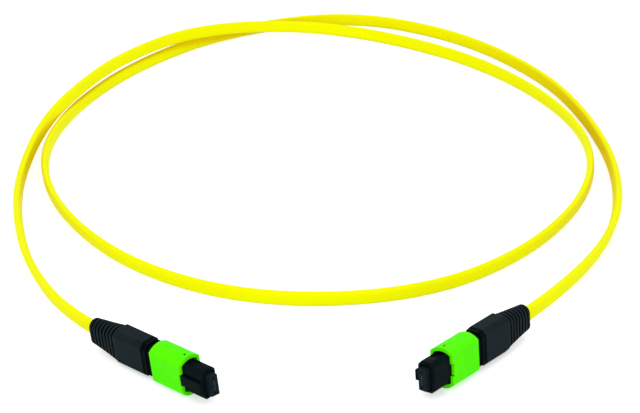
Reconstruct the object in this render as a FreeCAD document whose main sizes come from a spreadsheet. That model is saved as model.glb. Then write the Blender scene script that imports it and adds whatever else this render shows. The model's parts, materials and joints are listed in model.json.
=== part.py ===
"""Flat fibre patch lead with a twelve-fibre push-pull connector on each end.

The lead lies on a flat surface, +Z up. The origin is on that surface, below the middle of
the two connectors, with +X from the left connector to the right one. Each connector is
modelled in a frame of its own: the origin is the centre of its sleeve's mouth, X runs
forward along the plug, Y is the thin way and Z the wide way, which stands upright.
"""
import FreeCAD, Part
import math
import os
import re

import Sketcher
from FreeCAD import Placement, Rotation, Vector

# Driving dimensions in millimetres and degrees: alias, value, what it is.
SIZES = [
    ("ferrule_thick", 2.5, "ferrule body, thin way"),
    ("ferrule_high", 6.4, "ferrule body, wide way"),
    ("ferrule_long", 8.0, "ferrule, tip to rear"),
    ("ferrule_proud", 2.0, "how far the tip stands ahead of the plug's nose"),
    ("ferrule_travel", 1.0, "how far the ferrule is pushed back in use"),
    ("flange_thick", 3.0, "ferrule flange, thin way"),
    ("flange_high", 7.0, "ferrule flange, wide way"),
    ("flange_long", 2.0, "ferrule flange, along the plug"),
    ("face_angle", 8.0, "slope of the polished end face"),
    ("pin_pitch", 4.6, "between the two guide-pin holes"),
    ("pin_bore", 0.7, "diameter of a guide-pin hole"),
    ("glue_window_long", 2.0, "glue window in the ferrule, along the plug"),
    ("glue_window_high", 3.2, "glue window, wide way"),
    ("glue_window_deep", 0.45, "glue window, depth"),
    ("fibre_pocket_deep", 3.0, "rear pocket of the ferrule"),
    ("ribbon_thick", 0.32, "ribbon of twelve fibres, thin way"),
    ("ribbon_high", 3.05, "ribbon of twelve fibres, wide way"),
    ("ribbon_gap", 0.05, "ribbon inside its rubber boot"),
    ("ferrule_boot_thick", 1.6, "rubber fibre boot, thin way"),
    ("ferrule_boot_high", 3.5, "rubber fibre boot, wide way"),
    ("ferrule_boot_tail", 1.2, "rubber fibre boot, length behind the ferrule"),
    ("pocket_gap", 0.05, "rubber fibre boot inside the ferrule's pocket"),
    ("keeper_long", 1.6, "pin keeper, along the plug"),
    ("keeper_gap", 0.2, "rubber fibre boot inside the pin keeper"),
    ("nose_long", 7.5, "plug nose ahead of the sleeve's mouth"),
    ("housing_thick", 5.7, "plug body, thin way"),
    ("housing_high", 9.4, "plug body, wide way"),
    ("housing_bevel", 1.3, "bevel on the plug body's long edges"),
    ("nose_bevel", 0.4, "bevel round the plug body's front"),
    ("mouth_deep", 1.5, "open mouth round the ferrule"),
    ("mouth_gap", 0.5, "between the ferrule and the mouth's wall"),
    ("channel_gap", 0.12, "ferrule inside its channel"),
    ("flange_gap", 0.15, "flange inside the rear channel"),
    ("seat_gap", 0.02, "between a sliding piece and the stop it rests on"),
    ("key_thick", 0.95, "height of the key on the plug's broad face"),
    ("key_high", 3.2, "width of the key"),
    ("key_setback", 0.1, "key's front behind the plug's nose"),
    ("key_gap", 0.3, "between the key and the notch in the sleeve"),
    ("latch_setback", 4.0, "latch pocket's front behind the plug's nose"),
    ("latch_long", 5.2, "latch pocket, along the plug"),
    ("latch_wide", 3.2, "latch pocket, thin way"),
    ("latch_deep", 0.6, "latch pocket, depth"),
    ("latch_ramp", 1.2, "sloped rear end of the latch pocket"),
    ("sleeve_long", 13.0, "coupling sleeve, along the plug"),
    ("sleeve_side_wall", 0.9, "wall of the sleeve's broad sides"),
    ("sleeve_end_wall", 1.1, "wall at the top of the sleeve's arched ends"),
    ("sleeve_arch", 1.6, "rise of the arched ends outside"),
    ("bore_arch", 0.95, "rise of the arched ends inside"),
    ("slide_gap", 0.1, "sleeve over the plug body, broad sides"),
    ("arch_gap", 0.4, "sleeve over the plug body, arched ends"),
    ("notch_deep", 0.6, "notch for the key in the sleeve's mouth"),
    ("sleeve_bevel", 0.35, "bevel round the sleeve's rear edge"),
    ("sleeve_travel", 1.9, "how far the sleeve is pulled back"),
    ("travel_room", 0.2, "left between the sleeve and the collar at full travel"),
    ("pit_setback", 1.6, "small pit behind the sleeve's mouth"),
    ("pit_wide", 0.7, "diameter of the pit"),
    ("pit_deep", 0.5, "depth of the pit"),
    ("tab_setback", 4.8, "spring tab behind the sleeve's mouth"),
    ("tab_long", 0.8, "spring tab, along the plug"),
    ("groove_wide", 1.2, "spring groove in the plug body"),
    ("groove_deep", 0.75, "spring groove, depth"),
    ("groove_gap", 0.1, "tab or spring inside its groove"),
    ("groove_wall", 0.6, "between the spring groove and the snap lug's window"),
    ("sleeve_spring_wide", 0.9, "sleeve spring, outside diameter"),
    ("sleeve_spring_wire", 0.16, "sleeve spring, wire diameter"),
    ("ferrule_spring_long", 7.4, "ferrule spring at rest"),
    ("ferrule_spring_wire", 0.45, "ferrule spring, wire diameter"),
    ("ferrule_spring_gap", 0.2, "ferrule spring inside the rear channel"),
    ("push_gap", 0.1, "rear housing inside the plug body"),
    ("lug_long", 1.2, "snap lug of the rear housing, along the plug"),
    ("lug_wide", 1.8, "snap lug, thin way"),
    ("lug_setback", 2.4, "snap lug's rear ahead of the collar"),
    ("lug_sink", 0.25, "snap lug's top below the plug body's face"),
    ("lug_gap", 0.1, "snap lug inside its window"),
    ("collar_long", 1.9, "collar between the sleeve and the boot"),
    ("collar_step", 0.25, "collar smaller than the boot, each side"),
    ("fibre_bore_thick", 1.8, "fibre passage of the rear housing, thin way"),
    ("fibre_bore_high", 3.8, "fibre passage of the rear housing, wide way"),
    ("stem_long", 8.4, "crimp stem behind the collar"),
    ("stem_thick", 3.4, "crimp stem, thin way"),
    ("stem_high", 5.4, "crimp stem, wide way"),
    ("crimp_gap", 0.1, "crimp ring over the stem"),
    ("crimp_wall", 0.5, "wall of the crimp ring"),
    ("crimp_long", 6.0, "crimp ring, along the plug"),
    ("crimp_setback", 0.8, "crimp ring behind the collar"),
    ("boot_thick", 7.1, "boot body, thin way"),
    ("boot_high", 11.4, "boot body, wide way"),
    ("boot_bevel", 1.5, "bevel on the boot body's long edges"),
    ("boot_long", 11.2, "boot body, along the plug"),
    ("boot_gap", 0.15, "boot over the crimp ring"),
    ("tail_long", 12.55, "ribbed tail of the boot"),
    ("tail_root_thick", 7.0, "tail where it leaves the boot body, thin way"),
    ("tail_root_high", 11.2, "tail where it leaves the boot body, wide way"),
    ("tail_root_arch", 1.6, "rounding of the tail's root"),
    ("tail_end_thick", 4.9, "tail end, thin way"),
    ("tail_end_high", 8.4, "tail end, wide way"),
    ("tail_end_arch", 2.4, "rounding of the tail's end"),
    ("rib_long", 1.0, "raised band of the tail"),
    ("rib_deep", 0.4, "depth of the grooves between the bands"),
    ("rib_bevel", 1.9, "bevel on the floor of those grooves"),
    ("cable_thick", 2.5, "flat cable, thin way"),
    ("cable_high", 4.7, "flat cable, wide way"),
    ("cable_gap", 0.3, "cable inside the boot"),
    ("nose_lift", 0.8, "slope of the plugs, which tip back on the sleeve's rear edge"),
    ("left_x", -33.43, "left connector's mouth"),
    ("left_y", -13.82, "left connector's mouth"),
    ("left_heading", -44.1, "the way the left plug points"),
    ("left_lean", 6.8, "roll of the left plug on its arched end"),
    ("left_run_out", 52.4, "first bend of the cable behind the left mouth"),
    ("right_x", 36.71, "right connector's mouth"),
    ("right_y", -11.36, "right connector's mouth"),
    ("right_heading", -129.4, "the way the right plug points"),
    ("right_lean", 5.0, "roll of the right plug on its arched end"),
    ("right_run_out", 59.4, "first bend of the cable behind the right mouth"),
]
GROOVES = 7
EASE = 0.58
SLEEVE_SPRING_TURNS = 5
FERRULE_SPRING_TURNS = 5
SIDES = ("left", "right")

# Where the cable turns between its two straight ends, from left to right: it goes once and
# three quarters round, and rises over itself where the height is more than its own.
ROUTE = [
    (-88.4, 61.8, 3.7), (-97.8, 101.4, 2.35), (-101.7, 137.0, 2.35), (-98.9, 179.3, 4.8),
    (-89.2, 206.2, 8.4), (-74.1, 244.2, 8.4), (-45.1, 278.8, 8.0), (4.1, 297.5, 2.35),
    (52.3, 266.8, 2.35), (83.5, 225.1, 2.35), (100.7, 174.4, 2.35), (96.8, 123.8, 2.35),
    (72.4, 75.4, 2.35), (35.3, 43.1, 2.35), (-15.0, 39.1, 2.35), (-56.3, 63.2, 2.35),
    (-85.6, 108.9, 2.35), (-96.9, 157.3, 2.35), (-90.5, 203.9, 2.35), (-69.8, 251.1, 2.35),
    (-35.8, 290.8, 2.35), (15.1, 310.2, 2.35), (60.4, 283.3, 2.35), (90.4, 235.4, 2.35),
    (102.8, 188.2, 2.35), (107.0, 136.5, 2.35), (99.4, 87.1, 2.35),
]

# Stations along the plug and sections that several pieces share, as expressions.
TIP = "nose_long + ferrule_proud"
FERRULE_REAR = f"({TIP} - ferrule_long)"
FLANGE_FRONT = f"({FERRULE_REAR} + flange_long)"
KEEPER_REAR = f"({FERRULE_REAR} - keeper_long)"
SPRING_SEAT = f"({KEEPER_REAR} - ferrule_spring_long)"
KEY_REAR = "(key_gap - notch_deep)"
TAB_REAR = "(0 - tab_setback - tab_long)"
COLLAR_FRONT = "(0 - sleeve_long - sleeve_travel - travel_room)"
BOOT_FRONT = f"({COLLAR_FRONT} - collar_long)"
STEM_REAR = f"({BOOT_FRONT} - stem_long)"
TAIL_ROOT = f"({BOOT_FRONT} - boot_long)"
TAIL_END = f"({TAIL_ROOT} - tail_long)"
CHANNEL_THICK = "(flange_thick + 2 * flange_gap)"
CHANNEL_HIGH = "(flange_high + 2 * flange_gap)"
BORE_THICK = "(housing_thick + 2 * slide_gap)"
BORE_HIGH = "(housing_high + 2 * arch_gap)"
SLEEVE_THICK = f"({BORE_THICK} + 2 * sleeve_side_wall)"
SLEEVE_HIGH = f"({BORE_HIGH} + 2 * sleeve_end_wall)"
GROOVE_FLOOR = "(housing_high / 2 - groove_deep)"
LUG_REAR = f"({COLLAR_FRONT} + lug_setback)"
GROOVE_REAR = f"({LUG_REAR} + lug_long + lug_gap + groove_wall)"
POCKET_THICK = "(ferrule_boot_thick + 2 * pocket_gap)"
POCKET_HIGH = "(ferrule_boot_high + 2 * pocket_gap)"

document = FreeCAD.newDocument("patch_lead")
sheet = document.addObject("Spreadsheet::Sheet", "Sizes")
for row, (alias, value, note) in enumerate(SIZES, start=1):
    sheet.set(f"A{row}", str(value))
    sheet.setAlias(f"A{row}", alias)
    sheet.set(f"B{row}", note)
document.recompute()
ALIASES = re.compile(r"\b(" + "|".join(alias for alias, _, _ in SIZES) + r")\b")


def size(alias):
    """A driving dimension as a number."""
    return float(sheet.get(alias))


def bind(target, path, expression):
    """Tie a property to the sheet: bare aliases in the expression name its cells."""
    target.setExpression(path, ALIASES.sub(r"Sizes.\1", expression))


# ---------------------------------------------------------------- sketches and features

def new_body(name, side):
    body = document.addObject("PartDesign::Body", f"{name}_{side}")
    body.Label = f"{name}_{side}"
    return body


def origin_plane(body, role):
    return [item for item in body.Origin.OriginFeatures if item.Role == role][0]


def new_sketch(body, name, station, role="YZ_Plane"):
    """An empty sketch on one of the body's own planes, moved out to the station."""
    sketch = body.newObject("Sketcher::SketchObject", f"{body.Name}_{name}")
    sketch.AttachmentSupport = [(origin_plane(body, role), "")]
    sketch.MapMode = "FlatFace"
    bind(sketch, "AttachmentOffset.Base.z", station)
    return sketch


def closed_chain(sketch, first, count):
    for step in range(count):
        after = first + (step + 1) % count
        sketch.addConstraint(Sketcher.Constraint("Coincident", first + step, 2, after, 1))


def locate(sketch, geometry, point, across=None, up=None):
    """Hold one end of a line at a distance from the sketch's origin, signed."""
    for kind, expression in (("DistanceX", across), ("DistanceY", up)):
        if expression is not None:
            held = Sketcher.Constraint(kind, -1, 1, geometry, point, 1.0)
            number = sketch.addConstraint(held)
            bind(sketch, f"Constraints[{number}]", expression)


def draw_lines(sketch, corners):
    first = sketch.GeometryCount
    for here, there in zip(corners, corners[1:] + corners[:1]):
        sketch.addGeometry(Part.LineSegment(Vector(*here, 0), Vector(*there, 0)))
    closed_chain(sketch, first, len(corners))
    return first


def rectangle(sketch, low, high, left, right):
    """A rectangle between two heights and two sides, each an expression."""
    first = draw_lines(sketch, [(-1, -1), (1, -1), (1, 1), (-1, 1)])
    for step, kind in enumerate(("Horizontal", "Vertical", "Horizontal", "Vertical")):
        sketch.addConstraint(Sketcher.Constraint(kind, first + step))
    locate(sketch, first, 1, across=left, up=low)
    locate(sketch, first + 2, 1, across=right, up=high)


def centred(sketch, thick, high):
    rectangle(sketch, f"0 - ({high}) / 2", f"({high}) / 2", f"0 - ({thick}) / 2", f"({thick}) / 2")


def bevelled(sketch, thick, high, bevel):
    """A centred rectangle with its four corners cut at 45 degrees."""
    corners = [(-1, -3), (1, -3), (2, -2), (2, 2), (1, 3), (-1, 3), (-2, 2), (-2, -2)]
    first = draw_lines(sketch, corners)
    bottom, right, top, left = first, first + 2, first + 4, first + 6
    for line, opposite in ((bottom, top), (right, left)):
        for point in (1, 2):
            mirror = Sketcher.Constraint("Symmetric", line, point, opposite, point, -1, 1)
            sketch.addConstraint(mirror)
    sketch.addConstraint(Sketcher.Constraint("Symmetric", bottom, 1, bottom, 2, -2))
    sketch.addConstraint(Sketcher.Constraint("Symmetric", right, 1, right, 2, -1))
    locate(sketch, right, 2, across=f"({thick}) / 2", up=f"({high}) / 2 - ({bevel})")
    locate(sketch, top, 1, across=f"({thick}) / 2 - ({bevel})", up=f"({high}) / 2")


def eased(sketch, thick, high):
    """A bevelled section whose four cuts touch the stadium of the same size."""
    bevelled(sketch, thick, high, f"{EASE} * ({thick}) / 2")


def arched(sketch, thick, high, arch):
    """Two straight sides joined by arcs that rise by arch: half the thickness is a stadium."""
    first = sketch.GeometryCount
    right, top, left, bottom = first, first + 1, first + 2, first + 3
    upright = Vector(0, 0, 1)
    sketch.addGeometry(Part.LineSegment(Vector(2, -2, 0), Vector(2, 2, 0)))
    rounded = Part.Circle(Vector(0, 1, 0), upright, math.sqrt(5))
    start = math.atan2(1, 2)
    sketch.addGeometry(Part.ArcOfCircle(rounded, start, math.pi - start))
    sketch.addGeometry(Part.LineSegment(Vector(-2, 2, 0), Vector(-2, -2, 0)))
    rounded = Part.Circle(Vector(0, -1, 0), upright, math.sqrt(5))
    sketch.addGeometry(Part.ArcOfCircle(rounded, math.pi + start, 2 * math.pi - start))
    closed_chain(sketch, first, 4)
    for point in (1, 2):
        mirror = Sketcher.Constraint("Symmetric", right, point, left, point, -1, 1)
        sketch.addConstraint(mirror)
    sketch.addConstraint(Sketcher.Constraint("Symmetric", right, 1, right, 2, -1))
    locate(sketch, right, 2, across=f"({thick}) / 2", up=f"({high}) / 2 - ({arch})")
    radius = f"((({thick}) / 2) ^ 2 + ({arch}) ^ 2) / (2 * ({arch}))"
    for arc in (top, bottom):
        number = sketch.addConstraint(Sketcher.Constraint("Radius", arc, math.sqrt(5)))
        bind(sketch, f"Constraints[{number}]", radius)


def stadium(sketch, thick, high):
    arched(sketch, thick, high, f"({thick}) / 2")


def circle(sketch, across, up, diameter):
    number = sketch.addGeometry(Part.Circle(Vector(1, 1, 0), Vector(0, 0, 1), 0.5))
    locate(sketch, number, 3, across=across, up=up)
    held = sketch.addConstraint(Sketcher.Constraint("Diameter", number, 1.0))
    bind(sketch, f"Constraints[{held}]", diameter)


def pad(body, sketch, length):
    """Add the sketch's section, forward from its station."""
    feature = body.newObject("PartDesign::Pad", f"{sketch.Name}_pad")
    feature.Profile = sketch
    bind(feature, "Length", length)
    document.recompute()
    return feature


def pocket(body, sketch, length, reverse=False, both_ways=False):
    """Cut the sketch's section, backward from its station, and see that it cut."""
    before = body.Shape.Volume
    feature = body.newObject("PartDesign::Pocket", f"{sketch.Name}_pocket")
    feature.Profile = sketch
    feature.Reversed = reverse
    if both_ways:
        feature.SideType = "Symmetric"
    bind(feature, "Length", length)
    document.recompute()
    if body.Shape.Volume >= before:
        raise ValueError(f"{feature.Name} cuts nothing")
    return feature


def block(body, name, front, rear, low, high, left, right):
    """Add a block between two stations, two heights and two sides."""
    sketch = new_sketch(body, name, rear)
    rectangle(sketch, low, high, left, right)
    return pad(body, sketch, f"({front}) - ({rear})")


def cut_block(body, name, front, rear, low, high, left, right):
    """Cut a block between two stations, two heights and two sides."""
    sketch = new_sketch(body, name, front)
    rectangle(sketch, low, high, left, right)
    return pocket(body, sketch, f"({front}) - ({rear})")


def bevel_end(body, shell, bevel, station):
    """Bevel the edges round the end of a padded piece that lies at the station."""
    ends = [f"Edge{number}" for number, edge in enumerate(shell.Shape.Edges, start=1)
            if max(abs(edge.BoundBox.XMin - station), abs(edge.BoundBox.XMax - station)) < 1e-6]
    chamfer = body.newObject("PartDesign::Chamfer", f"{body.Name}_{bevel}")
    chamfer.Base = (shell, ends)
    bind(chamfer, "Size", bevel)
    document.recompute()


# ---------------------------------------------------------------- pieces of one connector

def mt_ferrule(side):
    """Moulded ferrule: body, rear flange, two pin holes, glue window and a sloped face."""
    body = new_body("mt_ferrule", side)
    slope = "(tan(face_angle * 1deg) * ferrule_thick / 2)"
    sketch = new_sketch(body, "body", FERRULE_REAR)
    centred(sketch, "ferrule_thick", "ferrule_high")
    pad(body, sketch, f"ferrule_long + {slope}")
    sketch = new_sketch(body, "flange", FERRULE_REAR)
    centred(sketch, "flange_thick", "flange_high")
    pad(body, sketch, "flange_long")
    sketch = new_sketch(body, "face", "0", "XY_Plane")
    first = draw_lines(sketch, [(8, -2), (10, -2), (10, 2)])
    sketch.addConstraint(Sketcher.Constraint("Horizontal", first))
    sketch.addConstraint(Sketcher.Constraint("Vertical", first + 1))
    locate(sketch, first, 1, across=f"{TIP} - 2 * {slope}", up="0 - ferrule_thick")
    locate(sketch, first + 2, 1, across=f"{TIP} + 2 * {slope}", up="ferrule_thick")
    pocket(body, sketch, "2 * ferrule_high", both_ways=True)
    sketch = new_sketch(body, "pins", TIP)
    circle(sketch, "0", "pin_pitch / 2", "pin_bore")
    circle(sketch, "0", "0 - pin_pitch / 2", "pin_bore")
    pocket(body, sketch, "2 * ferrule_long", both_ways=True)
    sketch = new_sketch(body, "fibres", f"{FERRULE_REAR} + fibre_pocket_deep")
    centred(sketch, POCKET_THICK, POCKET_HIGH)
    pocket(body, sketch, "fibre_pocket_deep")
    cut_block(body, "glue", f"{FLANGE_FRONT} + 1.5 * glue_window_long",
              f"{FLANGE_FRONT} + glue_window_long / 2",
              "0 - glue_window_high / 2", "glue_window_high / 2",
              "ferrule_thick / 2 - glue_window_deep", "ferrule_thick")
    return body


def pin_keeper(side):
    """Frame behind the flange, with a window for the fibres and their rubber boot."""
    body = new_body("pin_keeper", side)
    sketch = new_sketch(body, "frame", KEEPER_REAR)
    centred(sketch, "flange_thick", "flange_high")
    pad(body, sketch, "keeper_long")
    sketch = new_sketch(body, "window", FERRULE_REAR)
    centred(sketch, "ferrule_boot_thick + 2 * keeper_gap", "ferrule_boot_high + 2 * keeper_gap")
    pocket(body, sketch, "keeper_long")
    return body


def ferrule_boot(side):
    """Soft sleeve that keeps glue out of the ribbon where it enters the ferrule."""
    body = new_body("ferrule_boot", side)
    sketch = new_sketch(body, "sleeve", f"{FERRULE_REAR} - ferrule_boot_tail")
    centred(sketch, "ferrule_boot_thick", "ferrule_boot_high")
    pad(body, sketch, "ferrule_boot_tail + fibre_pocket_deep - pocket_gap")
    sketch = new_sketch(body, "slot", f"{FERRULE_REAR} + fibre_pocket_deep")
    centred(sketch, "ribbon_thick + 2 * ribbon_gap", "ribbon_high + 2 * ribbon_gap")
    pocket(body, sketch, "2 * (ferrule_boot_tail + fibre_pocket_deep)")
    return body


def fibre_ribbon(side):
    """The ribbon from the ferrule to the end of the cable's jacket."""
    body = new_body("fibre_ribbon", side)
    sketch = new_sketch(body, "ribbon", STEM_REAR)
    centred(sketch, "ribbon_thick", "ribbon_high")
    pad(body, sketch, f"{FERRULE_REAR} + fibre_pocket_deep - pocket_gap - {STEM_REAR}")
    return body


def latch_pocket(body, name, sign):
    """Pocket in a narrow face for the socket's hook, with a sloped rear end."""
    front = "(nose_long - latch_setback)"
    sketch = new_sketch(body, name, "0", "XZ_Plane")
    face, floor = "housing_high / 2", "(housing_high / 2 - latch_deep)"
    corners = [(-2, 4), (0, 3.5), (3, 3.5), (3, 4)]
    first = draw_lines(sketch, [(x, sign * z) for x, z in corners])
    over = f"{sign} * ({face} + latch_deep)"
    rear = f"({front} - latch_long)"
    locate(sketch, first, 1, across=f"{rear} - latch_ramp", up=over)
    locate(sketch, first + 1, 1, across=rear, up=f"{sign} * {floor}")
    locate(sketch, first + 2, 1, across=front, up=f"{sign} * {floor}")
    locate(sketch, first + 3, 1, across=front, up=over)
    pocket(body, sketch, "latch_wide", both_ways=True)


def inner_housing(side):
    """Plug body: bevelled tube with the key, latch pockets, spring grooves and windows."""
    body = new_body("inner_housing", side)
    sketch = new_sketch(body, "tube", COLLAR_FRONT)
    bevelled(sketch, "housing_thick", "housing_high", "housing_bevel")
    tube = pad(body, sketch, f"nose_long - {COLLAR_FRONT}")
    bevel_end(body, tube, "nose_bevel", size("nose_long"))
    block(body, "key", "nose_long - key_setback", KEY_REAR, "0 - key_high / 2", "key_high / 2",
          "0 - housing_thick / 2 - key_thick", "0 - housing_thick / 4")
    sketch = new_sketch(body, "mouth", "nose_long")
    centred(sketch, "ferrule_thick + 2 * mouth_gap", "ferrule_high + 2 * mouth_gap")
    pocket(body, sketch, "mouth_deep")
    sketch = new_sketch(body, "channel", "nose_long")
    centred(sketch, "ferrule_thick + 2 * channel_gap", "ferrule_high + 2 * channel_gap")
    pocket(body, sketch, f"nose_long - {COLLAR_FRONT}")
    sketch = new_sketch(body, "rear_channel", f"{FLANGE_FRONT} + seat_gap")
    centred(sketch, CHANNEL_THICK, CHANNEL_HIGH)
    pocket(body, sketch, f"{FLANGE_FRONT} + seat_gap - {COLLAR_FRONT}")
    for end, sign in (("upper", 1), ("lower", -1)):
        low, high = f"{sign} * {GROOVE_FLOOR}", f"{sign} * housing_high"
        latch_pocket(body, f"latch_{end}", sign)
        cut_block(body, f"groove_{end}", "seat_gap - tab_setback", GROOVE_REAR,
                  low, high, "0 - groove_wide / 2", "groove_wide / 2")
        cut_block(body, f"window_{end}", f"{LUG_REAR} + lug_long + lug_gap",
                  f"{LUG_REAR} - lug_gap", f"{sign} * flange_high / 2", high,
                  "0 - lug_wide / 2 - lug_gap", "lug_wide / 2 + lug_gap")
    return body


def coupling_sleeve(side):
    """Sliding sleeve with arched ends, a key notch each side and two spring tabs."""
    body = new_body("coupling_sleeve", side)
    sketch = new_sketch(body, "shell", "0 - sleeve_long")
    arched(sketch, SLEEVE_THICK, SLEEVE_HIGH, "sleeve_arch")
    shell = pad(body, sketch, "sleeve_long")
    bevel_end(body, shell, "sleeve_bevel", -size("sleeve_long"))
    sketch = new_sketch(body, "bore", "0")
    arched(sketch, BORE_THICK, BORE_HIGH, "bore_arch")
    pocket(body, sketch, "sleeve_long")
    cut_block(body, "notch", "0", "0 - notch_deep", "0 - key_high / 2 - key_gap",
              "key_high / 2 + key_gap", f"0 - {SLEEVE_THICK}", SLEEVE_THICK)
    for end, sign in (("upper", 1), ("lower", -1)):
        block(body, f"tab_{end}", "0 - tab_setback", TAB_REAR,
              f"{sign} * ({GROOVE_FLOOR} + groove_gap)",
              f"{sign} * ({BORE_HIGH} + sleeve_end_wall) / 2",
              "groove_gap - groove_wide / 2", "groove_wide / 2 - groove_gap")
    sketch = new_sketch(body, "pit", f"{SLEEVE_HIGH} / 2 - pit_deep", "XY_Plane")
    circle(sketch, "0 - pit_setback", "0", "pit_wide")
    pocket(body, sketch, "2 * pit_deep", reverse=True)
    return body


def spring_push(side):
    """Rear housing: spring seat and snap lugs inside, collar outside, crimp stem behind."""
    body = new_body("spring_push", side)
    sketch = new_sketch(body, "collar", BOOT_FRONT)
    bevelled(sketch, "boot_thick - 2 * collar_step", "boot_high - 2 * collar_step", "boot_bevel")
    pad(body, sketch, "collar_long")
    sketch = new_sketch(body, "seat", COLLAR_FRONT)
    centred(sketch, f"{CHANNEL_THICK} - 2 * push_gap", f"{CHANNEL_HIGH} - 2 * push_gap")
    pad(body, sketch, f"{SPRING_SEAT} - {COLLAR_FRONT}")
    block(body, "lugs", f"{LUG_REAR} + lug_long", LUG_REAR, "lug_sink - housing_high / 2",
          "housing_high / 2 - lug_sink", "0 - lug_wide / 2", "lug_wide / 2")
    sketch = new_sketch(body, "stem", STEM_REAR)
    stadium(sketch, "stem_thick", "stem_high")
    pad(body, sketch, "stem_long")
    sketch = new_sketch(body, "passage", SPRING_SEAT)
    centred(sketch, "fibre_bore_thick", "fibre_bore_high")
    pocket(body, sketch, f"{SPRING_SEAT} - {STEM_REAR}")
    return body


def crimp_ring(side):
    """Metal ring that clamps the cable's yarn on the stem."""
    body = new_body("crimp_ring", side)
    inner = ("stem_thick + 2 * crimp_gap", "stem_high + 2 * crimp_gap")
    front = f"({BOOT_FRONT} - crimp_setback)"
    sketch = new_sketch(body, "ring", f"{front} - crimp_long")
    stadium(sketch, f"{inner[0]} + 2 * crimp_wall", f"{inner[1]} + 2 * crimp_wall")
    pad(body, sketch, "crimp_long")
    sketch = new_sketch(body, "hole", front)
    stadium(sketch, *inner)
    pocket(body, sketch, "crimp_long")
    return body


def tail_size(part, share):
    """A size of the tail at a share of the way from its root to its end."""
    return f"(tail_root_{part} + (tail_end_{part} - tail_root_{part}) * {share})"


def strain_relief(side):
    """Rubber boot: bevelled body, then a tapering tail cut by grooves."""
    body = new_body("strain_relief", side)
    sketch = new_sketch(body, "body", TAIL_ROOT)
    bevelled(sketch, "boot_thick", "boot_high", "boot_bevel")
    pad(body, sketch, "boot_long")
    root = new_sketch(body, "tail_root", TAIL_ROOT)
    arched(root, "tail_root_thick", "tail_root_high", "tail_root_arch")
    end = new_sketch(body, "tail_end", TAIL_END)
    arched(end, "tail_end_thick", "tail_end_high", "tail_end_arch")
    document.recompute()
    loft = body.newObject("PartDesign::AdditiveLoft", f"{body.Name}_tail")
    loft.Profile = root
    loft.Sections = [end]
    loft.Ruled = True
    document.recompute()
    pitch = f"((tail_long - rib_long) / {GROOVES})"
    for groove in range(GROOVES):
        front = f"({TAIL_ROOT} - rib_long - {groove} * {pitch})"
        middle = f"((rib_long + ({groove} + 0.5) * {pitch}) / tail_long)"
        sketch = new_sketch(body, f"groove_{groove + 1}", front)
        centred(sketch, "2 * boot_thick", "2 * boot_high")
        bevelled(sketch, f"{tail_size('thick', middle)} - 2 * rib_deep",
                 f"{tail_size('high', middle)} - 2 * rib_deep", "rib_bevel")
        pocket(body, sketch, f"{pitch} - rib_long")
    sketch = new_sketch(body, "cavity", BOOT_FRONT)
    wall = "2 * (crimp_gap + crimp_wall + boot_gap)"
    eased(sketch, f"stem_thick + {wall}", f"stem_high + {wall}")
    pocket(body, sketch, "stem_long")
    sketch = new_sketch(body, "cable_bore", STEM_REAR)
    eased(sketch, "cable_thick + 2 * cable_gap", "cable_high + 2 * cable_gap")
    pocket(body, sketch, f"{STEM_REAR} - {TAIL_END}")
    return body


# ---------------------------------------------------------------- coil springs

def coil_turn(thick, high, steps):
    """Points of one turn, each with its outward direction: two half circles, joined."""
    radius, straight = thick / 2, (high - thick) / 2
    points = []
    for half, centre in ((0, straight), (1, -straight)):
        count = steps + 1 if straight > 0 else steps
        for step in range(count):
            angle = math.pi * (half + step / steps)
            outward = Vector(0, math.cos(angle), math.sin(angle))
            points.append((outward * radius + Vector(0, 0, centre), outward))
    return points


def coil(front, rear, axis_height, thick, high, wire, turns, steps):
    """A coil between two stations: four-sided wire, lofted from point to point."""
    turn = coil_turn(thick - wire, high - wire, steps)
    stations = turns * len(turn)
    start = Vector(rear + wire / 2, 0, axis_height)
    pitch = (front - rear - wire) / stations
    sections = []
    for number in range(stations + 1):
        point, outward = turn[number % len(turn)]
        centre = start + point + Vector(pitch * number, 0, 0)
        corners = []
        for along, out in ((1, 0), (0, 1), (-1, 0), (0, -1)):
            corners.append(centre + (outward * out + Vector(along, 0, 0)) * (wire / 2))
        sections.append(Part.makePolygon(corners + corners[:1]))
    return Part.makeLoft(sections, True, True)


def place_feature(name, shape, placement):
    feature = document.addObject("Part::Feature", name)
    feature.Label = name
    feature.Shape = shape
    feature.Placement = placement
    return feature


def ferrule_spring(side, placement):
    """Oval coil between the pin keeper and the rear housing's seat."""
    tip = size("nose_long") + size("ferrule_proud")
    keeper_rear = tip - size("ferrule_long") - size("keeper_long")
    spare = 2 * (size("flange_gap") - size("ferrule_spring_gap"))
    shape = coil(keeper_rear - size("seat_gap"),
                 keeper_rear - size("ferrule_spring_long") + size("seat_gap"), 0,
                 size("flange_thick") + spare, size("flange_high") + spare,
                 size("ferrule_spring_wire"), FERRULE_SPRING_TURNS, 4)
    return place_feature(f"ferrule_spring_{side}", shape, placement)


def sleeve_spring(side, end, sign, placement):
    """Small round coil in the plug body's groove, behind the sleeve's tab."""
    front = -size("tab_setback") - size("tab_long")
    rear = (size("lug_setback") + size("lug_long") + size("lug_gap") + size("groove_wall")
            - size("sleeve_long") - size("sleeve_travel") - size("travel_room"))
    wide = size("sleeve_spring_wide")
    height = size("housing_high") / 2 - size("groove_deep") + size("groove_gap") + wide / 2
    shape = coil(front - size("seat_gap"), rear + size("seat_gap"), sign * height,
                 wide, wide, size("sleeve_spring_wire"), SLEEVE_SPRING_TURNS, 4)
    return place_feature(f"sleeve_spring_{end}_{side}", shape, placement)


# ---------------------------------------------------------------- connectors and cable

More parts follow.
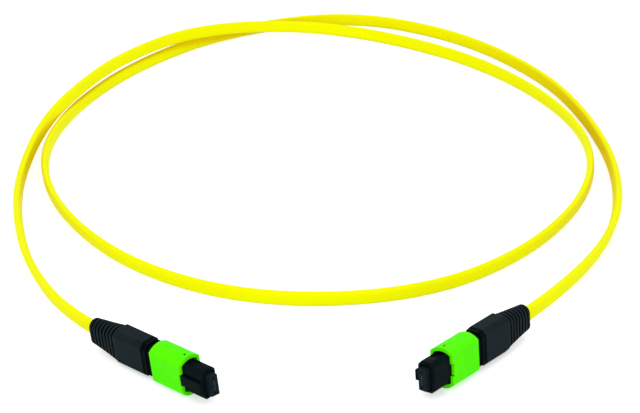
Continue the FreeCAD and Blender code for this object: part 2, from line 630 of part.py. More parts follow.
def connector_placement(side):
    """The plug lies on the rear edge of its arched end, rolled by its lean, nose lifted."""
    thick = size("housing_thick") + 2 * (size("slide_gap") + size("sleeve_side_wall"))
    high = size("housing_high") + 2 * (size("arch_gap") + size("sleeve_end_wall"))
    rise = size("sleeve_arch")
    radius = ((thick / 2) ** 2 + rise ** 2) / (2 * rise)
    lean, lift = math.radians(size(f"{side}_lean")), math.radians(size("nose_lift"))
    height = (radius + (high / 2 - radius) * math.cos(lean)) * math.cos(lift)
    height += (size("sleeve_long") - size("sleeve_bevel")) * math.sin(lift)
    turn = Rotation(Vector(0, 0, 1), size(f"{side}_heading"))
    tip = Rotation(Vector(0, 1, 0), -size("nose_lift"))
    roll = Rotation(Vector(1, 0, 0), size(f"{side}_lean"))
    return Placement(Vector(size(f"{side}_x"), size(f"{side}_y"), height), turn * tip * roll)


def stem_rear():
    """The station of the stem's rear end, where the cable's jacket begins."""
    spans = ("sleeve_long", "sleeve_travel", "travel_room", "collar_long", "stem_long")
    return -sum(size(span) for span in spans)


def on_axis(placement, station):
    return placement.multVec(Vector(station, 0, 0))


def route_path(points):
    """Straight runs joined by tangent arcs as large as the runs allow, with their radii."""
    edges, radii = [], []
    here = points[0]
    for before, corner, after in zip(points, points[1:], points[2:]):
        back, ahead = before - corner, after - corner
        reach = 0.45 * min(back.Length, ahead.Length)
        half_turn = (math.pi - back.getAngle(ahead)) / 2
        radii.append(reach / math.tan(half_turn))
        back.normalize()
        ahead.normalize()
        start, end = corner + back * reach, corner + ahead * reach
        inward = back + ahead
        inward.normalize()
        middle = corner + inward * (radii[-1] / math.cos(half_turn) - radii[-1])
        edges.append(Part.LineSegment(here, start).toShape())
        edges.append(Part.Arc(start, middle, end).toShape())
        here = end
    edges.append(Part.LineSegment(here, points[-1]).toShape())
    return Part.Wire(edges), radii


def cable_section(centre, forward):
    """The flat cable's section, upright across its path, with its round edges eased."""
    up = Vector(0, 0, 1)
    across = up.cross(forward)
    across.normalize()
    side, top = size("cable_thick") / 2, size("cable_high") / 2
    cut = EASE * side
    quarter = [(side, top - cut), (side - cut, top)]
    half = quarter + [(-y, z) for y, z in quarter[::-1]]
    outline = half + [(-y, -z) for y, z in half]
    corners = [centre + across * y + up * z for y, z in outline]
    return Part.makePolygon(corners + corners[:1])


def cable_jacket(placements):
    """The flat cable, on edge, from stem to stem."""
    ends = {side: [on_axis(placements[side], stem_rear()),
                   on_axis(placements[side], -size(f"{side}_run_out"))] for side in SIDES}
    points = ends["left"] + [Vector(*point) for point in ROUTE] + ends["right"][::-1]
    path, radii = route_path(points)
    section = cable_section(points[0], points[1] - points[0])
    sweep = Part.BRepOffsetAPI.MakePipeShell(path)
    sweep.setBiNormalMode(Vector(0, 0, 1))
    sweep.add(section)
    sweep.build()
    sweep.makeSolid()
    shape = sweep.shape()
    expected = Part.Face(section).Area * path.Length
    print("cable length", round(path.Length, 1), "radii", [round(radius) for radius in radii])
    print("cable volume", round(shape.Volume, 1), "section times length", round(expected, 1))
    return place_feature("cable_jacket", shape, Placement())


def connector(side):
    """Every piece of one connector, placed where it lies."""
    placement = connector_placement(side)
    makers = (mt_ferrule, pin_keeper, ferrule_boot, inner_housing, coupling_sleeve,
              spring_push, crimp_ring, strain_relief, fibre_ribbon)
    pieces = [make(side) for make in makers]
    for piece in pieces:
        piece.Placement = placement
    pieces.append(ferrule_spring(side, placement))
    for end, sign in (("upper", 1), ("lower", -1)):
        pieces.append(sleeve_spring(side, end, sign, placement))
    return pieces


def check_document():
    """Stop on any object that failed to recompute."""
    for item in document.Objects:
        if {"Invalid", "Error"} & set(item.State):
            raise ValueError(f"{item.Name} is {item.State}")


def write_pieces(pieces):
    os.makedirs("parts", exist_ok=True)
    for piece in pieces:
        if piece.Shape.isNull() or not piece.Shape.isValid():
            raise ValueError(f"{piece.Label} has no valid shape")
    for piece in pieces:
        piece.Shape.exportStep(f"parts/{piece.Label}.step")


all_pieces = [piece for side in SIDES for piece in connector(side)]
all_pieces.append(cable_jacket({side: connector_placement(side) for side in SIDES}))
document.recompute()
check_document()
write_pieces(all_pieces)
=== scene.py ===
"""The look of a flat fibre patch lead with a push-pull connector on each end.

Lengths are in metres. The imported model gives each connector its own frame: x runs forward
along the plug from the sleeve's mouth, y is the thin way and z the wide way.
"""
import json
import math

import bmesh
import bpy
from mathutils import Matrix, Vector


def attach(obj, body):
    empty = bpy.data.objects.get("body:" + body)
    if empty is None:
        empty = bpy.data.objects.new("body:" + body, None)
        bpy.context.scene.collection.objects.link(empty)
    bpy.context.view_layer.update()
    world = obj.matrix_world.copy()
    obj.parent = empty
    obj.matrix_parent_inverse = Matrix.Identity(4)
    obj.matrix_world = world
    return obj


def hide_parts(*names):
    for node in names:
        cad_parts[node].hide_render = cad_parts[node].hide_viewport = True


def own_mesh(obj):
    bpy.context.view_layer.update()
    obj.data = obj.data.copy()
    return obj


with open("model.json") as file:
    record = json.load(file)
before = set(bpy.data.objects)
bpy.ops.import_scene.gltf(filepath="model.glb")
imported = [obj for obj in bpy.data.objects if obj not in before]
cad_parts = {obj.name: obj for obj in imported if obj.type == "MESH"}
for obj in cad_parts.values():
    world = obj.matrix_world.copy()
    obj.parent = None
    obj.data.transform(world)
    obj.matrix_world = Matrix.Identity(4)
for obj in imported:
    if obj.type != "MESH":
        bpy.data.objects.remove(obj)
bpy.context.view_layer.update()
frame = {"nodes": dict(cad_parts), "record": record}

MM = 0.001
SIDES = ("left", "right")
NODES = frame["nodes"]
MOUNTS = {mount["name"]: mount for mount in frame["record"]["mounts"]}

# Stations along the plug, in the connector's own frame.
NOSE = 7.5 * MM
TIP = 9.5 * MM
FERRULE_REAR = 1.5 * MM
KEEPER_REAR = -0.1 * MM
SPRING_SEAT = -7.5 * MM
TAB_REAR = -5.6 * MM
GROOVE_REAR = -10.8 * MM
STEM_REAR = -25.4 * MM
LEFT_RUN_OUT = -52.4 * MM
RIGHT_RUN_OUT = -59.4 * MM

# The moving pieces.
SLEEVE_SPRING_HEIGHT = 4.5 * MM
SLEEVE_SPRING_WIDE = 0.9 * MM
SLEEVE_SPRING_WIRE = 0.16 * MM
SLEEVE_SPRING_TURNS = 9.0
FERRULE_SPRING_THICK = 2.9 * MM
FERRULE_SPRING_HIGH = 6.9 * MM
FERRULE_SPRING_WIRE = 0.45 * MM
FERRULE_SPRING_TURNS = 6.0

# The fibres, side by side.
FIBRE_COUNT = 12
FIBRE_PITCH = 0.25 * MM
FIBRE_RADIUS = 0.122 * MM
FIBRE_REACH = 2.9 * MM
FIBRE_END_RADIUS = 0.0625 * MM
FIBRE_END_LONG = 0.4 * MM
FIBRE_END_SETBACK = 0.19 * MM

# The flat cable.
CABLE_THICK = 2.5 * MM
CABLE_HIGH = 4.7 * MM

# How round the moulded edges are, by material slot.
EDGE = {
    "sleeve_plastic": 0.22 * MM,
    "housing": 0.10 * MM,
    "rear_housing": 0.10 * MM,
    "boot_rubber": 0.18 * MM,
    "ferrule_plastic": 0.04 * MM,
}
SHARP_EDGE = math.radians(35)
SHARP_CREASE = math.radians(50)
FLAT_ENOUGH = math.radians(0.5)
SAME_POINT = 0.001 * MM

# How finely the curved pieces are divided.
EDGE_STEPS = 3
COIL_STEPS = 28
WIRE_SIDES = 8
ROD_SIDES = 12
PATH_STEPS = 16
ROUND_EDGE_STEPS = 10

# Stage, light and camera.
FLOOR_HALF = 6.0
FLOOR_DROP = 0.02 * MM
FLOOR_TONE = 0.86
FLOOR_GLOW = 0.48
SKY_LIGHT = 0.75
SKY_SEEN = 1.0
LAMP_SIZE = 0.9
LAMP_TARGET = (0.0, 0.12, 0.0)
LENS = 113.88
SENSOR = 36.0
LOOK_DOWN = math.radians(24.0)
CAMERA_ROLL = math.radians(-0.6)
CAMERA_PLACE = Vector((3.01, -511.55, 279.0)) * MM

# The points that steer the cable between its two straight ends, in millimetres.
ROUTE = [
    (-88.4, 61.8, 3.7), (-97.8, 101.4, 2.35), (-101.7, 137.0, 2.35), (-98.9, 179.3, 4.8),
    (-89.2, 206.2, 8.4), (-74.1, 244.2, 8.4), (-45.1, 278.8, 8.0), (4.1, 297.5, 2.35),
    (52.3, 266.8, 2.35), (83.5, 225.1, 2.35), (100.7, 174.4, 2.35), (96.8, 123.8, 2.35),
    (72.4, 75.4, 2.35), (35.3, 43.1, 2.35), (-15.0, 39.1, 2.35), (-56.3, 63.2, 2.35),
    (-85.6, 108.9, 2.35), (-96.9, 157.3, 2.35), (-90.5, 203.9, 2.35), (-69.8, 251.1, 2.35),
    (-35.8, 290.8, 2.35), (15.1, 310.2, 2.35), (60.4, 283.3, 2.35), (90.4, 235.4, 2.35),
    (102.8, 188.2, 2.35), (107.0, 136.5, 2.35), (99.4, 87.1, 2.35),
]

# How far the flat cable leans out of the coil at each of its points, in degrees; it leans
# inward where the number is below zero.
LEAN = [
    6.8, 6.8, 22, 11, 11, 21, 20, 18, 18, 19, 19, 2, -17, 3, 8, 7,
    3, 10, 11, 3, 10, 16, 17, 16, 20, 17, 17, 20, 21, -5, -5,
]


# ---------------------------------------------------------------- connectors' frames

def connector_matrix(side):
    """The connector's own frame, from the plug's nose and its two guide-pin holes."""
    forward = Vector(MOUNTS[f"{side}_plug_nose"]["axis"]).normalized()
    upper = Vector(MOUNTS[f"{side}_upper_pin_hole"]["pos_m"])
    lower = Vector(MOUNTS[f"{side}_lower_pin_hole"]["pos_m"])
    up = (upper - lower).normalized()
    turn = Matrix((forward, up.cross(forward), up)).transposed().to_4x4()
    mouth = Vector(MOUNTS[f"{side}_plug_nose"]["pos_m"]) - forward * NOSE
    return Matrix.Translation(mouth) @ turn


PLUGS = {side: connector_matrix(side) for side in SIDES}


def on_axis(side, station):
    """A point on the plug's own axis."""
    return PLUGS[side] @ Vector((station, 0, 0))


# ---------------------------------------------------------------- materials

class Value:
    """A shader value; arithmetic on it adds the nodes that work it out."""

    def __init__(self, paint, socket):
        self.paint = paint
        self.socket = socket

    def _math(self, operation, first, second):
        return self.paint.node("ShaderNodeMath", {"operation": operation}, {0: first, 1: second})

    def __add__(self, other):
        return self._math("ADD", self, other)

    def __sub__(self, other):
        return self._math("SUBTRACT", self, other)

    def __rsub__(self, other):
        return self._math("SUBTRACT", other, self)

    def __mul__(self, other):
        return self._math("MULTIPLY", self, other)

    __radd__ = __add__
    __rmul__ = __mul__

    def between(self, low, high):
        """0 at low, 1 at high, with soft ends."""
        settings = {"interpolation_type": "SMOOTHSTEP"}
        return self.paint.node("ShaderNodeMapRange", settings, {0: self, 1: low, 2: high})


class Paint:
    """One material: a Principled shader and the nodes that feed it."""

    def __init__(self, name, roughness, **fixed):
        self.material = bpy.data.materials.new(name)
        self.material.use_nodes = True
        self.tree = self.material.node_tree
        self.shader = self.tree.nodes["Principled BSDF"]
        self.set("Roughness", roughness)
        for socket, value in fixed.items():
            self.set(socket.replace("_", " "), value)

    def put(self, socket, value):
        """A worked-out value is linked to the socket, a plain one is set on it."""
        if isinstance(value, Value):
            self.tree.links.new(value.socket, socket)
        else:
            socket.default_value = value

    def set(self, socket, value):
        """The shader's own socket of this name."""
        self.put(self.shader.inputs[socket], value)

    def node(self, kind, settings, inputs, output=0):
        """The output of a new node with these settings and inputs."""
        made = self.tree.nodes.new(kind)
        for name, value in settings.items():
            setattr(made, name, value)
        for socket, value in inputs.items():
            self.put(made.inputs[socket], value)
        return Value(self, made.outputs[output])

    def place(self, scale=(1, 1, 1), source="Object"):
        """The piece's own coordinates, in metres, stretched by scale."""
        point = self.node("ShaderNodeTexCoord", {}, {}, source)
        return self.node("ShaderNodeMapping", {}, {"Vector": point, "Scale": scale})

    def noise(self, size, place, detail=3.0):
        """Soft noise from 0 to 1 with features of about this size, in metres."""
        settings = {"noise_dimensions": "3D"}
        inputs = {"Vector": place, "Scale": 1 / size, "Detail": detail, "Roughness": 0.55}
        return self.node("ShaderNodeTexNoise", settings, inputs)

    def grains(self, size, place):
        """Distance to the nearest of many scattered grains."""
        return self.node("ShaderNodeTexVoronoi", {}, {"Vector": place, "Scale": 1 / size})

    def blend(self, factor, first, second):
        """A colour between two others."""
        settings = {"data_type": "RGBA"}
        return self.node("ShaderNodeMix", settings, {0: factor, 6: first, 7: second}, 2)

    def openness(self, reach):
        """1 in the open, 0 deep in the gaps that the piece leaves between its own parts; it sets
        where shade is painted.
        """
        settings = {"only_local": True, "samples": 16}
        return self.node("ShaderNodeAmbientOcclusion", settings, {"Distance": reach}, "AO")

    def bump(self, height, distance):
        """Fine relief that stands this far out where height is 1."""
        inputs = {"Height": height, "Distance": distance, "Strength": 1.0}
        self.set("Normal", self.node("ShaderNodeBump", {}, inputs))


def colour(red, green, blue):
    """A colour for a socket, from linear shares."""
    return (red, green, blue, 1.0)


def moulded(name, painted_shade, dark, light, roughness, grain, depth, **fixed):
    """Injection-moulded plastic: fine texture, drifting tone and gloss, painted shade in narrow
    gaps.
    """
    paint = Paint(name, roughness, **fixed)
    place = paint.place()
    drift = paint.noise(6 * MM, place, 2.0).between(0.3, 0.7)
    texture = paint.noise(grain, place, 4.0)
    # Painted shade: where the piece's own parts crowd in, the colour darkens towards the shade
    # colour.
    clear_of_painted_shade = paint.openness(1.1 * MM).between(0.45, 0.90)
    paint.set("Base Color", paint.blend(clear_of_painted_shade, painted_shade, paint.blend(drift, dark, light)))
    paint.set("Roughness", roughness + 0.08 * drift + 0.10 * texture)
    paint.bump(texture, depth)
    return paint.material


def jacket_yellow():
    """Extruded cable jacket: faint lines along its length over a fine matt skin, painted shade
    between its turns.
    """
    paint = Paint("jacket_yellow", 0.42, Specular_IOR_Level=0.02)
    skin = paint.noise(0.12 * MM, paint.place(), 3.0)
    lines = paint.noise(0.35 * MM, paint.place((0.02, 1, 1), "UV"), 2.0)
    drift = paint.noise(9 * MM, paint.place((0.3, 1, 1), "UV"), 2.0).between(0.3, 0.7)
    open_skin = paint.blend(drift, colour(0.95, 0.97, 0.0), colour(0.97, 0.99, 0.0))
    # Painted shade: the yellow turns a darker, warmer orange where the cable's own turns hide each
    # other.
    light = paint.openness(30 * MM).between(0.70, 0.95)
    paint.set("Base Color", paint.blend(light, colour(0.86, 0.68, 0.0), open_skin))
    paint.set("Roughness", 0.36 + 0.10 * skin + 0.06 * drift)
    paint.bump(skin * 0.4 + lines * 0.6, 0.03 * MM)
    return paint.material


def ferrule_filled():
    """Glass-filled ferrule moulding: pale short fibres in a dark blue-grey body."""
    paint = Paint("ferrule_filled", 0.35, Specular_IOR_Level=0.02)
    place = paint.place()
    flakes = 1 - paint.grains(0.22 * MM, place).between(0.10, 0.40)
    cloud = paint.noise(1.2 * MM, place, 3.0)
    body = paint.blend(cloud, colour(0.005, 0.010, 0.014), colour(0.008, 0.015, 0.020))
    paint.set("Base Color", paint.blend(flakes * 0.15, body, colour(0.13, 0.16, 0.18)))
    paint.set("Roughness", 0.30 + 0.15 * cloud)
    paint.bump(flakes, 0.004 * MM)
    return paint.material


def worked_metal(name, tone, roughness, size):
    """Drawn or rolled metal: fine streaks along the plug."""
    paint = Paint(name, roughness, Metallic=1.0)
    streaks = paint.noise(size, paint.place((1, 1, 4)), 3.0)
    dull = [share * 0.8 for share in tone]
    paint.set("Base Color", paint.blend(streaks, colour(*dull), colour(*tone)))
    paint.set("Roughness", roughness - 0.08 + 0.16 * streaks)
    paint.bump(streaks, 0.005 * MM)
    return paint.material


def fibre_coating():
    """Coated fibre: glossy, a little cloudy."""
    paint = Paint("fibre_coating", 0.2, Coat_Weight=0.4)
    cloud = paint.noise(0.6 * MM, paint.place())
    paint.set("Base Color", paint.blend(cloud, colour(0.62, 0.66, 0.70), colour(0.80, 0.83, 0.86)))
    paint.set("Roughness", 0.18 + 0.08 * cloud)
    return paint.material


def fibre_glass():
    """Polished end of a bare glass fibre."""
    paint = Paint("fibre_glass", 0.08, Specular_IOR_Level=0.1)
    cloud = paint.noise(0.05 * MM, paint.place())
    paint.set("Base Color", paint.blend(cloud, colour(0.13, 0.17, 0.20), colour(0.22, 0.27, 0.31)))
    paint.set("Roughness", 0.06 + 0.05 * cloud)
    return paint.material


FINISH = {
    "jacket": jacket_yellow(),
    "sleeve_plastic": moulded(
        "sleeve_green", painted_shade=colour(0.004, 0.06, 0.0), dark=colour(0.085, 0.96, 0.0),
        light=colour(0.11, 0.99, 0.0), roughness=0.34, grain=0.10 * MM, depth=0.006 * MM,
        Specular_IOR_Level=0.03),
    "housing": moulded(
        "housing_black", painted_shade=colour(0.001, 0.002, 0.002), dark=colour(0.002, 0.006, 0.007),
        light=colour(0.004, 0.009, 0.010), roughness=0.30, grain=0.08 * MM, depth=0.006 * MM,
        Specular_IOR_Level=0.012),
    "rear_housing": moulded(
        "collar_black", painted_shade=colour(0.0, 0.001, 0.001), dark=colour(0.001, 0.003, 0.002),
        light=colour(0.002, 0.004, 0.003), roughness=0.32, grain=0.08 * MM, depth=0.006 * MM,
        Specular_IOR_Level=0.012),
    "boot_rubber": moulded(
        "boot_rubber", painted_shade=colour(0.001, 0.003, 0.004), dark=colour(0.006, 0.013, 0.017),
        light=colour(0.009, 0.017, 0.022), roughness=0.50, grain=0.14 * MM, depth=0.012 * MM,
        Specular_IOR_Level=0.03),
    "soft_boot": moulded(
        "soft_black", painted_shade=colour(0.002, 0.002, 0.002), dark=colour(0.010, 0.010, 0.010),
        light=colour(0.018, 0.018, 0.018), roughness=0.60, grain=0.10 * MM, depth=0.008 * MM),
    "ferrule_plastic": ferrule_filled(),
    "spring_steel": worked_metal("spring_wire", (0.62, 0.61, 0.59), 0.25, 0.08 * MM),
    "crimp_metal": worked_metal("crimp_metal", (0.66, 0.65, 0.62), 0.32, 0.15 * MM),
    "keeper_metal": worked_metal("keeper_steel", (0.60, 0.60, 0.60), 0.28, 0.10 * MM),
    "coated_fibre": fibre_coating(),
}
FIBRE_GLASS = fibre_glass()


# ---------------------------------------------------------------- pieces

def link(name, data):
    """A new object in the scene, at the origin."""
    piece = bpy.data.objects.new(name, data)
    bpy.context.scene.collection.objects.link(piece)
    return piece


def declare(piece, body, slot, *replaced):
    """Set a finished piece on its body and hide the CAD nodes it replaces."""
    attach(piece, body)
    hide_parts(*replaced)


def paint_node(node, slot):
    """A CAD node whose shape is right takes its finish."""
    mesh = NODES[node].data
    mesh.materials.clear()
    mesh.materials.append(FINISH[slot])


def softened(node, name, body, slot):
    """A copy of a CAD node, its facets joined into faces and its edges rounded over."""
    mesh = NODES[node].data.copy()
    shape = bmesh.new()
    shape.from_mesh(mesh)
    bmesh.ops.remove_doubles(shape, verts=shape.verts, dist=SAME_POINT)
    bmesh.ops.dissolve_limit(shape, angle_limit=FLAT_ENOUGH, verts=shape.verts,
                             edges=shape.edges)
    shape.to_mesh(mesh)
    shape.free()
    mesh.shade_smooth()
    mesh.set_sharp_from_angle(angle=SHARP_EDGE)
    mesh.materials.clear()
    mesh.materials.append(FINISH[slot])
    piece = link(name, mesh)
    bevel = piece.modifiers.new("rounded_edges", "BEVEL")
    bevel.width = EDGE[slot]
    bevel.segments = EDGE_STEPS
    bevel.limit_method = "ANGLE"
    bevel.angle_limit = SHARP_EDGE
    bevel.harden_normals = True
    declare(piece, body, slot, node)


# ---------------------------------------------------------------- geometry trees

class Tree:
    """A Geometry Nodes tree with named inputs."""

    def __init__(self, name, inputs):
        self.tree = bpy.data.node_groups.new(name, "GeometryNodeTree")
        face = self.tree.interface
        face.new_socket("Geometry", in_out="OUTPUT", socket_type="NodeSocketGeometry")
        self.keys = {}
        for label, kind in inputs.items():
            socket = face.new_socket(label, in_out="INPUT", socket_type=f"NodeSocket{kind}")
            self.keys[label] = socket.identifier
        self.inputs = self.tree.nodes.new("NodeGroupInput").outputs

    def add(self, kind, links, **settings):
        """The first output of a new node with these links, values and settings."""
        node = self.tree.nodes.new(kind)
        for name, value in settings.items():
            setattr(node, name, value)
        for socket, value in links.items():
            if isinstance(value, bpy.types.NodeSocket):
                self.tree.links.new(value, node.inputs[socket])
            else:
                node.inputs[socket].default_value = value
        return node.outputs[0]

    def close(self, geometry):
        """Real geometry with its material on, at the tree's end."""
        real = self.add("GeometryNodeRealizeInstances", {"Geometry": geometry})
        links = {"Geometry": real, "Material": self.inputs["Material"]}
        painted = self.add("GeometryNodeSetMaterial", links)
        end = self.tree.nodes.new("NodeGroupOutput")
        self.tree.links.new(painted, end.inputs[0])

    def grow(self, name, place, **values):
        """A plain mesh piece from the tree, set in place."""
        seed = link(name + "_seed", bpy.data.meshes.new(name + "_seed"))
        modifier = seed.modifiers.new("tree", "NODES")
        modifier.node_group = self.tree
        for label, value in values.items():
            modifier[self.keys[label]] = value
        graph = bpy.context.evaluated_depsgraph_get()
        mesh = bpy.data.meshes.new_from_object(seed.evaluated_get(graph), depsgraph=graph)
        bpy.data.objects.remove(seed)
        mesh.transform(place)
        mesh.shade_smooth()
        mesh.set_sharp_from_angle(angle=SHARP_CREASE)
        return link(name, mesh)


def coil_tree():
    """A coil of round wire that climbs along z, narrower along x where it is oval."""
    tree = Tree("coil", {"Turns": "Float", "Radius": "Float", "Length": "Float", "Wire": "Float",
                         "Oval": "Float", "Material": "Material"})
    given = tree.inputs
    spiral = tree.add("GeometryNodeCurveSpiral", {
        "Resolution": COIL_STEPS, "Rotations": given["Turns"], "Start Radius": given["Radius"],
        "End Radius": given["Radius"], "Height": given["Length"]})
    scale = tree.add("ShaderNodeCombineXYZ", {"X": given["Oval"], "Y": 1.0, "Z": 1.0})
    line = tree.add("GeometryNodeTransform", {"Geometry": spiral, "Scale": scale})
    wire = tree.add("GeometryNodeCurvePrimitiveCircle",
                    {"Resolution": WIRE_SIDES, "Radius": given["Wire"]}, mode="RADIUS")
    tree.close(tree.add("GeometryNodeCurveToMesh",
                        {"Curve": line, "Profile Curve": wire, "Fill Caps": True}))
    return tree


def row_tree():
    """A row of equal rods that stand along z, side by side along x."""
    tree = Tree("row_of_rods", {"Count": "Int", "Pitch": "Float", "Radius": "Float",
                                "Length": "Float", "Material": "Material"})
    given = tree.inputs
    step = tree.add("ShaderNodeCombineXYZ", {"X": given["Pitch"], "Y": 0.0, "Z": 0.0})
    points = tree.add("GeometryNodeMeshLine", {"Count": given["Count"], "Offset": step},
                      mode="OFFSET")
    rod = tree.add("GeometryNodeMeshCylinder", {
        "Vertices": ROD_SIDES, "Radius": given["Radius"], "Depth": given["Length"]})
    tree.close(tree.add("GeometryNodeInstanceOnPoints", {"Points": points, "Instance": rod}))
    return tree


COIL = coil_tree()
ROW = row_tree()
ALONG_PLUG = Matrix.Rotation(math.pi / 2, 4, "Y")
ACROSS_PLUG = Matrix.Rotation(-math.pi / 2, 4, "Y")
QUARTER_TURN = Matrix.Rotation(math.pi / 2, 4, "Z")


def coil_spring(side, name, rear, front, height, thick, high, wire, turns):
    """A coil between two stations, in its rest length."""
    place = PLUGS[side] @ Matrix.Translation((rear + wire / 2, 0, height)) @ ALONG_PLUG
    return COIL.grow(name, place @ QUARTER_TURN, Turns=turns, Radius=(high - wire) / 2,
                     Length=front - rear - wire, Wire=wire / 2,
                     Oval=(thick - wire) / (high - wire), Material=FINISH["spring_steel"])


def give(piece):
    """The piece gets a mesh of its own."""
    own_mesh(piece)


def springs(side):
    """Two small coils for the sleeve and an oval one for the ferrule."""
    for end, sign in (("upper", 1), ("lower", -1)):
        piece = coil_spring(side, f"sleeve_coil_{end}_{side}", GROOVE_REAR, TAB_REAR,
                            sign * SLEEVE_SPRING_HEIGHT, SLEEVE_SPRING_WIDE,
                            SLEEVE_SPRING_WIDE, SLEEVE_SPRING_WIRE, SLEEVE_SPRING_TURNS)
        give(piece)
        declare(piece, "lead", "spring_steel", f"sleeve_spring_{end}_{side}")
    piece = coil_spring(side, f"ferrule_coil_{side}", SPRING_SEAT, KEEPER_REAR, 0,
                        FERRULE_SPRING_THICK, FERRULE_SPRING_HIGH, FERRULE_SPRING_WIRE,
                        FERRULE_SPRING_TURNS)
    give(piece)
    declare(piece, "lead", "spring_steel", f"ferrule_spring_{side}")


def fibres(side):
    """Twelve fibres side by side, from the cable into the ferrule, and their polished ends."""
    first = -FIBRE_PITCH * (FIBRE_COUNT - 1) / 2
    front = FERRULE_REAR + FIBRE_REACH
    middle = (STEM_REAR + front) / 2
    stand = PLUGS[side] @ Matrix.Translation((middle, 0, first)) @ ACROSS_PLUG
    piece = ROW.grow(f"fibres_{side}", stand, Count=FIBRE_COUNT, Pitch=FIBRE_PITCH,
                     Radius=FIBRE_RADIUS, Length=front - STEM_REAR,
                     Material=FINISH["coated_fibre"])
    give(piece)
    declare(piece, "lead", "coated_fibre", f"fibre_ribbon_{side}")
    face = TIP - FIBRE_END_SETBACK
    stand = PLUGS[side] @ Matrix.Translation((face, 0, first)) @ ACROSS_PLUG
    ends = ROW.grow(f"fibre_ends_{side}", stand, Count=FIBRE_COUNT, Pitch=FIBRE_PITCH,
                    Radius=FIBRE_END_RADIUS, Length=FIBRE_END_LONG, Material=FIBRE_GLASS)
    declare(ends, f"ferrule_{side}", "coated_fibre")


# ---------------------------------------------------------------- cable

def smooth_line(name, points):
    """Points along the smooth curve that the given ones steer."""
    curve = bpy.data.curves.new(name, "CURVE")
    curve.dimensions = "3D"
    curve.resolution_u = PATH_STEPS
    spline = curve.splines.new("NURBS")
    spline.points.add(len(points) - 1)
    for control, point in zip(spline.points, points):
        control.co = (*point, 1.0)
    spline.order_u = 3
    spline.use_endpoint_u = True
    carrier = link(name, curve)
    graph = bpy.context.evaluated_depsgraph_get()
    line = bpy.data.meshes.new_from_object(carrier.evaluated_get(graph), depsgraph=graph)
    path = [vertex.co.copy() for vertex in line.vertices]
    bpy.data.objects.remove(carrier)
    return path


def cable_line():
    """The cable's centre line and its lean, in radians, at each of its points."""
    points = [on_axis("left", STEM_REAR), on_axis("left", LEFT_RUN_OUT)]
    points += [Vector(point) * MM for point in ROUTE]
    points += [on_axis("right", RIGHT_RUN_OUT), on_axis("right", STEM_REAR)]
    path = smooth_line("cable_line", points)
    lean = [math.radians(at.x) for at in smooth_line("cable_lean", [(d, 0, 0) for d in LEAN])]
    straight = (CABLE_HIGH - CABLE_THICK) / 2
    for point, angle in zip(path, lean):
        point.z -= straight * (1 - math.cos(angle))
    return path, lean


def cable_outline():
    """The flat section: two straight sides and two round edges, as sideways and upward shares."""
    radius, straight = CABLE_THICK / 2, (CABLE_HIGH - CABLE_THICK) / 2
    outline = []
    for start, centre in ((0, straight), (math.pi, -straight)):
        for step in range(ROUND_EDGE_STEPS + 1):
            angle = start + math.pi * step / ROUND_EDGE_STEPS
            outline.append((radius * math.cos(angle), centre + radius * math.sin(angle)))
    return outline


def swept(name, path, lean, outline):
    """A mesh swept on edge along the path, with a map that follows its length and girth."""
    mesh = bpy.data.meshes.new(name)
    shape = bmesh.new()
    chart = shape.loops.layers.uv.new("along_and_round")
    rings, travelled = [], [0.0]
    for number, point in enumerate(path):
        before, after = path[max(number - 1, 0)], path[min(number + 1, len(path) - 1)]
        forward = (after - before).normalized()
        turn = Matrix.Rotation(-lean[number], 3, forward)
        across = turn @ Vector((0, 0, 1)).cross(forward).normalized()
        up = forward.cross(across)
        rings.append([shape.verts.new(point + across * y + up * z) for y, z in outline])
        if number:
            travelled.append(travelled[-1] + (point - path[number - 1]).length)
    around = [0.0]
    for here, there in zip(outline, outline[1:] + outline[:1]):
        around.append(around[-1] + math.dist(here, there))
    count = len(outline)
    for number in range(len(path) - 1):
        for side in range(count):
            follow = (side + 1) % count
            corners = [rings[number][side], rings[number][follow],
                       rings[number + 1][follow], rings[number + 1][side]]
            face = shape.faces.new(corners)
            places = [(number, side), (number, side + 1),
                      (number + 1, side + 1), (number + 1, side)]
            for loop, (u, v) in zip(face.loops, places):
                loop[chart].uv = (travelled[u], around[v])
    shape.faces.new(rings[0])
    shape.faces.new(rings[-1][::-1])
    bmesh.ops.recalc_face_normals(shape, faces=shape.faces)
    shape.to_mesh(mesh)
    shape.free()
    mesh.shade_smooth()
    mesh.set_sharp_from_angle(angle=SHARP_CREASE)
    return mesh


def cable():
    """The flat jacket from one crimp stem to the other."""
    path, lean = cable_line()
    mesh = swept("cable", path, lean, cable_outline())
    mesh.materials.append(FINISH["jacket"])
    piece = link("cable", mesh)
    declare(piece, "lead", "jacket", "cable_jacket")


# ---------------------------------------------------------------- stage, light and camera

def where_seen(tree):
    """1 where the camera, a mirror or glass looks, 0 where light alone arrives."""
    paths = tree.nodes.new("ShaderNodeLightPath")
    seen = paths.outputs["Is Camera Ray"]
    for ray in ("Is Glossy Ray", "Is Transmission Ray"):
        either = tree.nodes.new("ShaderNodeMath")
        either.operation = "MAXIMUM"
        tree.links.new(seen, either.inputs[0])
        tree.links.new(paths.outputs[ray], either.inputs[1])
        seen = either.outputs[0]
    return seen


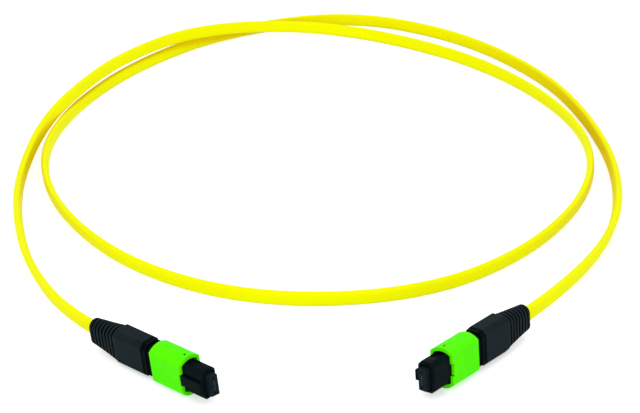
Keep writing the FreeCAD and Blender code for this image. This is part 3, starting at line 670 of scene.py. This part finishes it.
def floor():
    """A wide pale floor that keeps the soft shadow and reads white."""
    mesh = bpy.data.meshes.new("floor")
    shape = bmesh.new()
    bmesh.ops.create_grid(shape, x_segments=1, y_segments=1, size=FLOOR_HALF)
    shape.to_mesh(mesh)
    shape.free()
    material = bpy.data.materials.new("pale_floor")
    material.use_nodes = True
    tree = material.node_tree
    tree.nodes.clear()
    matt = tree.nodes.new("ShaderNodeBsdfDiffuse")
    matt.inputs["Color"].default_value = colour(FLOOR_TONE, FLOOR_TONE, FLOOR_TONE)
    glow = tree.nodes.new("ShaderNodeEmission")
    lift = tree.nodes.new("ShaderNodeMath")
    lift.operation = "MULTIPLY"
    tree.links.new(where_seen(tree), lift.inputs[0])
    lift.inputs[1].default_value = FLOOR_GLOW
    tree.links.new(lift.outputs[0], glow.inputs["Strength"])
    both = tree.nodes.new("ShaderNodeAddShader")
    tree.links.new(matt.outputs[0], both.inputs[0])
    tree.links.new(glow.outputs[0], both.inputs[1])
    end = tree.nodes.new("ShaderNodeOutputMaterial")
    tree.links.new(both.outputs[0], end.inputs["Surface"])
    mesh.materials.append(material)
    piece = link("floor", mesh)
    piece.location.z = -FLOOR_DROP


def sky():
    """An even pale surround, plain white where it is seen."""
    world = bpy.data.worlds.new("surround")
    bpy.context.scene.world = world
    world.use_nodes = True
    tree = world.node_tree
    back = tree.nodes["Background"]
    back.inputs["Color"].default_value = colour(1, 1, 1)
    strength = tree.nodes.new("ShaderNodeMix")
    tree.links.new(where_seen(tree), strength.inputs[0])
    strength.inputs[2].default_value = SKY_LIGHT
    strength.inputs[3].default_value = SKY_SEEN
    tree.links.new(strength.outputs[0], back.inputs["Strength"])


def lamp(name, place, power):
    """A square soft lamp that faces the middle of the coil."""
    light = bpy.data.lights.new(name, "AREA")
    light.energy = power
    light.size = LAMP_SIZE
    piece = link(name, light)
    piece.location = place
    aim = Vector(LAMP_TARGET) - Vector(place)
    piece.rotation_euler = aim.to_track_quat("-Z", "Y").to_euler()


def camera():
    """Long lens, looking down a little on the lead from in front of the plugs."""
    lens = bpy.data.cameras.new("camera")
    lens.lens = LENS
    lens.sensor_width = SENSOR
    lens.clip_start, lens.clip_end = 0.01, 20.0
    piece = link("camera", lens)
    tilt = Matrix.Rotation(math.pi / 2 - LOOK_DOWN, 4, "X")
    roll = Matrix.Rotation(CAMERA_ROLL, 4, "Z")
    piece.matrix_world = Matrix.Translation(CAMERA_PLACE) @ tilt @ roll
    bpy.context.scene.camera = piece


def studio():
    """Everything round the lead."""
    bpy.context.scene.view_settings.view_transform = "Standard"
    camera()
    sky()
    floor()
    lamp("key_light", (-0.4, -0.5, 0.9), power=2.6)
    lamp("front_light", (0.3, -1.2, 0.45), power=3.0)
    lamp("back_light", (0.5, 1.0, 1.1), power=2.4)


# ---------------------------------------------------------------- assembly

def connector(side):
    """The visible shells with softened edges, and the pieces inside them."""
    softened(f"coupling_sleeve_{side}", f"sleeve_{side}_shell", f"sleeve_{side}",
             "sleeve_plastic")
    softened(f"inner_housing_{side}", f"plug_{side}_shell", "lead", "housing")
    softened(f"spring_push_{side}", f"rear_{side}_housing", "lead", "rear_housing")
    softened(f"strain_relief_{side}", f"boot_{side}", "lead", "boot_rubber")
    softened(f"mt_ferrule_{side}", f"ferrule_{side}_body", f"ferrule_{side}",
             "ferrule_plastic")
    paint_node(f"crimp_ring_{side}", "crimp_metal")
    paint_node(f"pin_keeper_{side}", "keeper_metal")
    paint_node(f"ferrule_boot_{side}", "soft_boot")
    springs(side)
    fibres(side)


studio()
cable()
for end_of_lead in SIDES:
    connector(end_of_lead)
